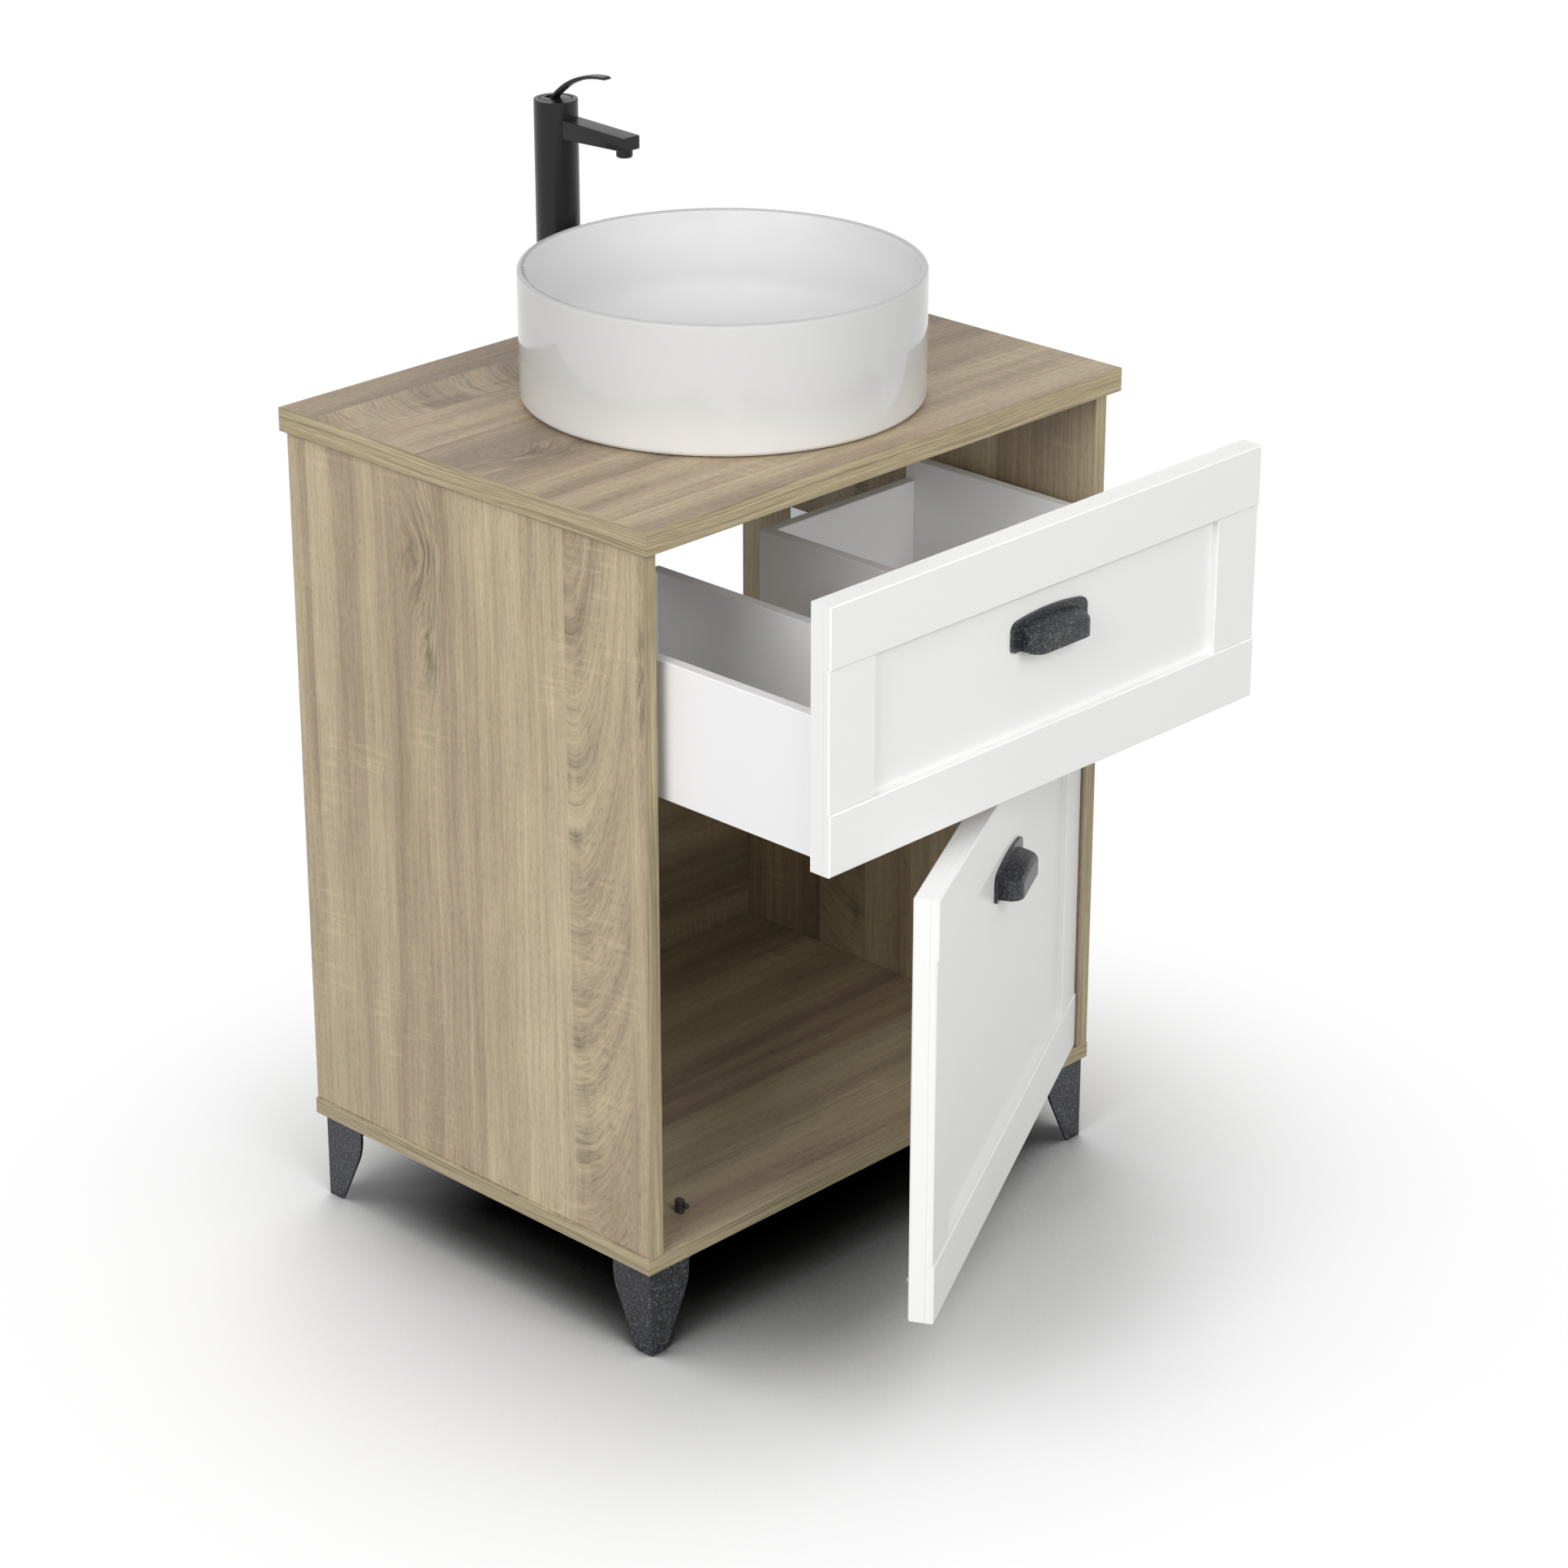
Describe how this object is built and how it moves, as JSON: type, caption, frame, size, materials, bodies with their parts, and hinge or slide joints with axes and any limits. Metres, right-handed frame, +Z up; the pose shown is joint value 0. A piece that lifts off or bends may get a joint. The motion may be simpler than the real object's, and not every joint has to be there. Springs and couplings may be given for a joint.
{
  "type": "vessel sink on vanity",
  "caption": "Round white vessel basin with a tall black single-lever tap on an oak-look vanity with a white framed drawer and a hinged door, on tapered metal feet.",
  "frame": {"origin": "on the floor at the wall, under the middle of the countertop's back edge", "axes": "+X to the right as one stands at the basin, +Y towards the wall, +Z up"},
  "size_m": [0.6, 0.7018, 1.0391],
  "materials": {
    "oak_laminate": "matt oak laminate with a fine grain",
    "white_lacquer": "satin white lacquer on board",
    "white_board": "matt white coated board",
    "speckled_grey": "dark grey stone-look enamel with specks",
    "black_metal": "matt black coating on brass",
    "white_glaze": "glossy white glaze",
    "steel": "zinc-plated",
    "chrome": "polished chrome",
    "brass": "plain",
    "rubber": "matt",
    "dark_plastic": "matt",
    "beech": "raw"
  },
  "bodies": {
    "cabinet": {"countertop": "oak_laminate", "side_panel_left": "oak_laminate", "side_panel_right": "oak_laminate", "base_panel": "oak_laminate", "back_panel": "oak_laminate", "back_rail": "oak_laminate", "foot_front_left": "speckled_grey", "foot_front_right": "speckled_grey", "foot_back_right": "speckled_grey", "foot_back_left": "speckled_grey", "tap_body": "black_metal", "aerator": "black_metal", "basin": "white_glaze", "foot_screws": "steel", "runner_screws": "steel", "hinge_screws": "steel", "runner_rail_left": "steel", "runner_rail_right": "steel", "hinge_bracket_top": "steel", "tap_stud": "steel", "tap_clamp_washer": "steel", "tap_nut": "steel", "waste_body": "chrome", "cartridge_nut": "brass", "tap_inlets": "brass", "basin_seal": "rubber", "waste_seal": "rubber", "waste_washer": "rubber", "tap_seal": "rubber", "door_catch": "dark_plastic", "hinge_bush_bottom": "dark_plastic", "cartridge": "dark_plastic", "waste_nut": "dark_plastic", "dowels": "beech"},
    "drawer": {"drawer_front_panel": "white_lacquer", "drawer_front_rails": "white_lacquer", "drawer_front_stiles": "white_lacquer", "drawer_side_left": "white_board", "drawer_side_right": "white_board", "drawer_bay_wall_left": "white_board", "drawer_bay_wall_right": "white_board", "drawer_bay_front": "white_board", "drawer_back_left": "white_board", "drawer_back_right": "white_board", "drawer_bottom": "white_board", "drawer_handle": "speckled_grey", "drawer_handle_screws": "steel", "drawer_slides": "steel"},
    "door": {"door_front_panel": "white_lacquer", "door_front_rails": "white_lacquer", "door_front_stiles": "white_lacquer", "door_handle": "speckled_grey", "door_handle_screws": "steel", "door_pivots": "steel", "door_catch_keeper": "steel"},
    "lever_stem": {"cartridge_stem": "steel", "lever_pin": "steel"},
    "lever": {"lever": "black_metal"},
    "plug": {"waste_plug": "chrome", "waste_plug_seal": "rubber"}
  },
  "joints": [
    {"name": "drawer_slide", "type": "slide", "parent": "cabinet", "child": "drawer", "axis": [0, -1, 0], "range_m": [-0.189, 0.06]},
    {"name": "door_swing", "type": "hinge", "parent": "cabinet", "child": "door", "pos_m": [0.2651, -0.4434, 0.301], "axis": [0, 0, 1], "range_deg": [-27.8, 82.2]},
    {"name": "lever_turn", "type": "hinge", "parent": "cabinet", "child": "lever_stem", "pos_m": [0, -0.043, 0.998], "axis": [0, 0, 1], "range_deg": [-45, 45]},
    {"name": "lever_lift", "type": "hinge", "parent": "lever_stem", "child": "lever", "pos_m": [0, -0.043, 0.998], "axis": [-1, 0, 0], "range_deg": [0, 25]},
    {"name": "plug_press", "type": "slide", "parent": "cabinet", "child": "plug", "axis": [0, 0, -1], "range_m": [0, 0.008], "stiffness_N_per_m": 600, "springref_m": -0.005}
  ]
}
